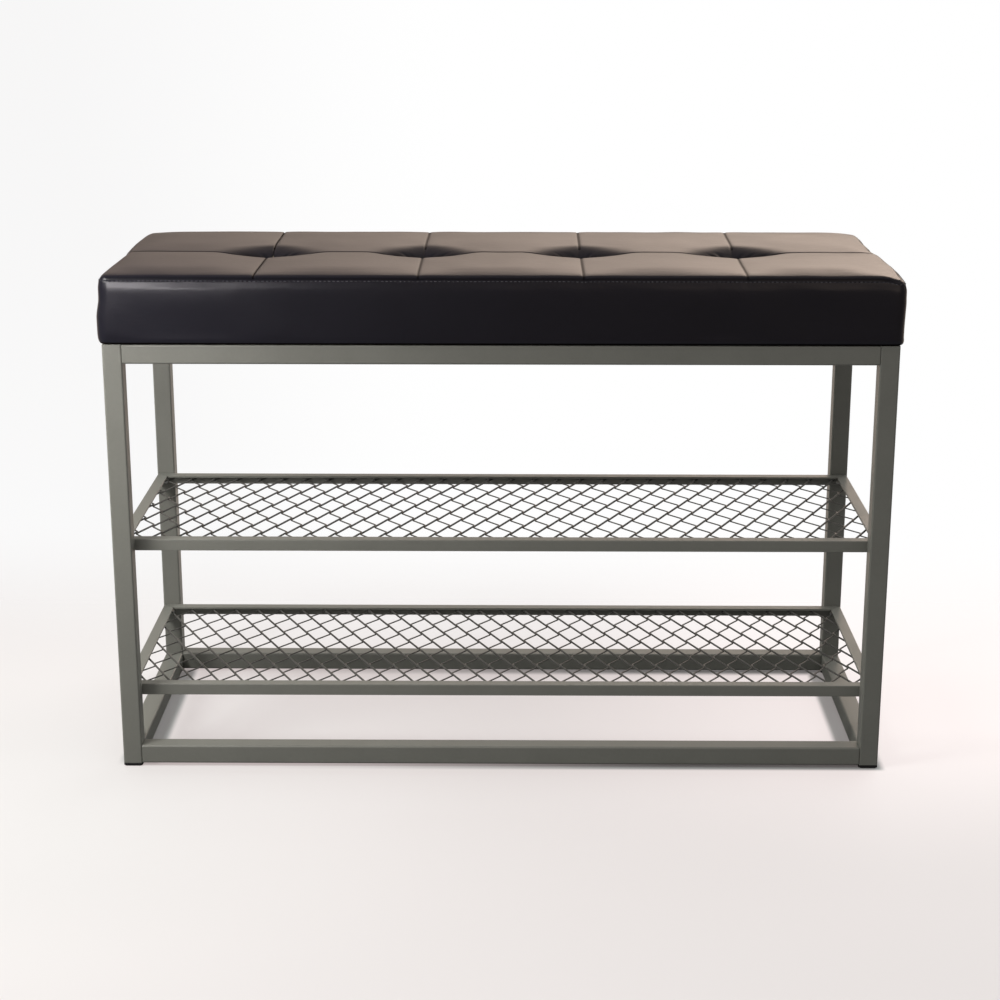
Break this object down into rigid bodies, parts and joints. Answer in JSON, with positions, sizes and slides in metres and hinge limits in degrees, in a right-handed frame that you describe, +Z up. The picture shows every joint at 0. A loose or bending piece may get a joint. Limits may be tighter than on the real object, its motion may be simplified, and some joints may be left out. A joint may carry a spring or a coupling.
{
  "type": "entryway bench",
  "caption": "Entryway shoe bench: a tufted, padded seat on a square-tube steel frame, with expanded-metal shoe shelves underneath.",
  "frame": {"origin": "on the floor, under the middle of the bench", "axes": "+Z up; +X to the right along the length, as someone facing the bench sees it; +Y from the front to the back"},
  "size_m": [0.806, 0.306, 0.5265],
  "materials": {
    "frame_paint": "satin powder coat, warm grey with a slight green tint",
    "mesh_paint": "satin powder coat, warm grey, on expanded metal",
    "foot_plastic": "fine matt black",
    "seat_leather": "satin, fine-grained faux leather, near black",
    "seat_foam": "open-cell foam",
    "seat_board": "bare plywood",
    "dust_cloth": "black spun non-woven cloth",
    "tie_twine": "waxed upholstery twine",
    "bolt_steel": "black oxide",
    "screw_steel": "bright zinc plate"
  },
  "bodies": {
    "root": {"leg_front_left": "frame_paint", "leg_front_right": "frame_paint", "leg_rear_left": "frame_paint", "leg_rear_right": "frame_paint", "foot_front_left": "foot_plastic", "foot_front_right": "foot_plastic", "foot_rear_left": "foot_plastic", "foot_rear_right": "foot_plastic", "top_rail_front": "frame_paint", "top_rail_rear": "frame_paint", "top_rail_left": "frame_paint", "top_rail_right": "frame_paint", "bottom_rail_front": "frame_paint", "bottom_rail_rear": "frame_paint", "bottom_rail_left": "frame_paint", "bottom_rail_right": "frame_paint", "rail_bolt_top_front_left": "bolt_steel", "rail_bolt_top_front_right": "bolt_steel", "rail_bolt_top_rear_left": "bolt_steel", "rail_bolt_top_rear_right": "bolt_steel", "rail_bolt_bottom_front_left": "bolt_steel", "rail_bolt_bottom_front_right": "bolt_steel", "rail_bolt_bottom_rear_left": "bolt_steel", "rail_bolt_bottom_rear_right": "bolt_steel", "upper_shelf_edge_front": "frame_paint", "upper_shelf_edge_rear": "frame_paint", "upper_shelf_edge_left": "frame_paint", "upper_shelf_edge_right": "frame_paint", "upper_shelf_mesh": "mesh_paint", "shelf_screw_upper_front_left": "screw_steel", "shelf_screw_upper_front_right": "screw_steel", "shelf_screw_upper_rear_left": "screw_steel", "shelf_screw_upper_rear_right": "screw_steel", "lower_shelf_edge_front": "frame_paint", "lower_shelf_edge_rear": "frame_paint", "lower_shelf_edge_left": "frame_paint", "lower_shelf_edge_right": "frame_paint", "lower_shelf_mesh": "mesh_paint", "shelf_screw_lower_front_left": "screw_steel", "shelf_screw_lower_front_right": "screw_steel", "shelf_screw_lower_rear_left": "screw_steel", "shelf_screw_lower_rear_right": "screw_steel", "seat_board": "seat_board", "seat_foam": "seat_foam", "seat_cover": "seat_leather", "dust_cover": "dust_cloth", "tuft_tie_1": "tie_twine", "tuft_tie_2": "tie_twine", "tuft_tie_3": "tie_twine", "tuft_tie_4": "tie_twine", "seat_screw_front_left": "screw_steel", "seat_screw_front_right": "screw_steel", "seat_screw_rear_left": "screw_steel", "seat_screw_rear_right": "screw_steel"}
  },
  "joints": []
}
